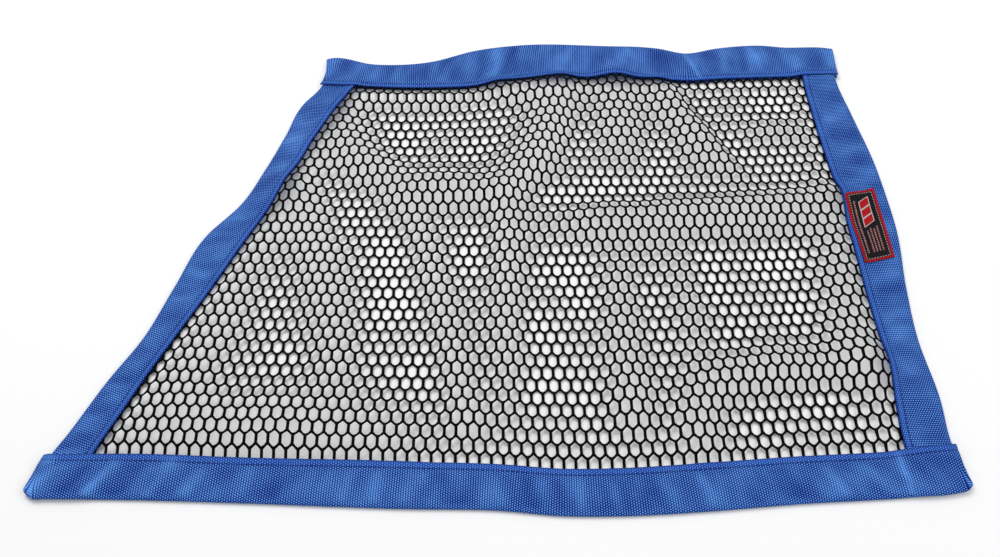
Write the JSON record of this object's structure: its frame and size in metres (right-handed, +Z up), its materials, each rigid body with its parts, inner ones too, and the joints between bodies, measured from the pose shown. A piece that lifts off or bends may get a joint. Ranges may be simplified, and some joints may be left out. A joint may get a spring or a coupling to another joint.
{
  "type": "window net",
  "caption": "Trapezoid safety net of hexagon mesh with woven tape bindings at the sides and flattened rod sleeves along top and bottom, lying with soft folds.",
  "frame": {"origin": "centre of the bounding box at the level of the surface that the net lies on", "axes": "+X along the rod sleeves, +Y from the long bottom sleeve to the short top sleeve, +Z up through the cloth"},
  "size_m": [0.6905, 0.4974, 0.0158],
  "materials": {
    "net_mesh": "matte black knitted mesh",
    "woven_tape": "matte blue woven tape",
    "label": "matte black label with a red stitched border"
  },
  "bodies": {
    "root": {"net_panel": "net_mesh", "left_binding": "woven_tape", "right_binding": "woven_tape", "top_sleeve": "woven_tape", "bottom_sleeve": "woven_tape", "label_patch": "label"}
  },
  "joints": []
}
